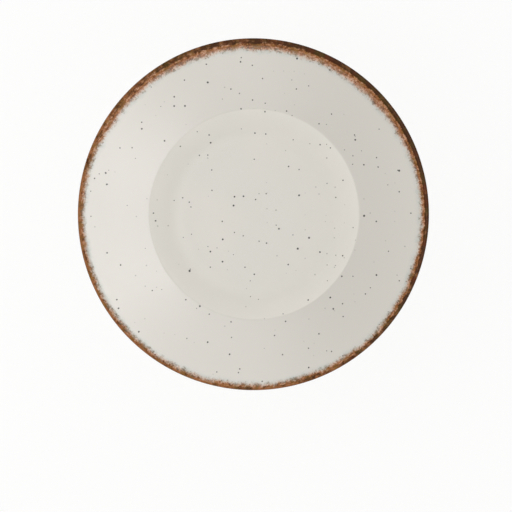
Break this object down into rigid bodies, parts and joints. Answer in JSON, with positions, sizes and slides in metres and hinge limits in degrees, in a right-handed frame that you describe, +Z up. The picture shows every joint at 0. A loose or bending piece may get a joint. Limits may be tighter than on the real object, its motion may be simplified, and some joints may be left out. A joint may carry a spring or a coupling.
{
  "type": "pasta plate",
  "caption": "Deep round pasta plate of glazed stoneware with a wide sloping rim, a ragged brown band on the lip, fine dark specks and a low foot ring.",
  "frame": {"origin": "on the table, under the middle of the foot ring", "axes": "+Z up along the plate's axis of revolution, from the foot ring to the lip; +X and +Y are any two level directions"},
  "size_m": [0.28, 0.28, 0.06],
  "materials": {
    "bare_clay": "matte",
    "ivory_glaze": "gloss",
    "brown_band": "gloss"
  },
  "bodies": {
    "root": {"clay_body": "bare_clay", "face_glaze": "ivory_glaze", "rim_band": "brown_band", "underside_glaze": "ivory_glaze", "foot_recess_glaze": "ivory_glaze"}
  },
  "joints": []
}
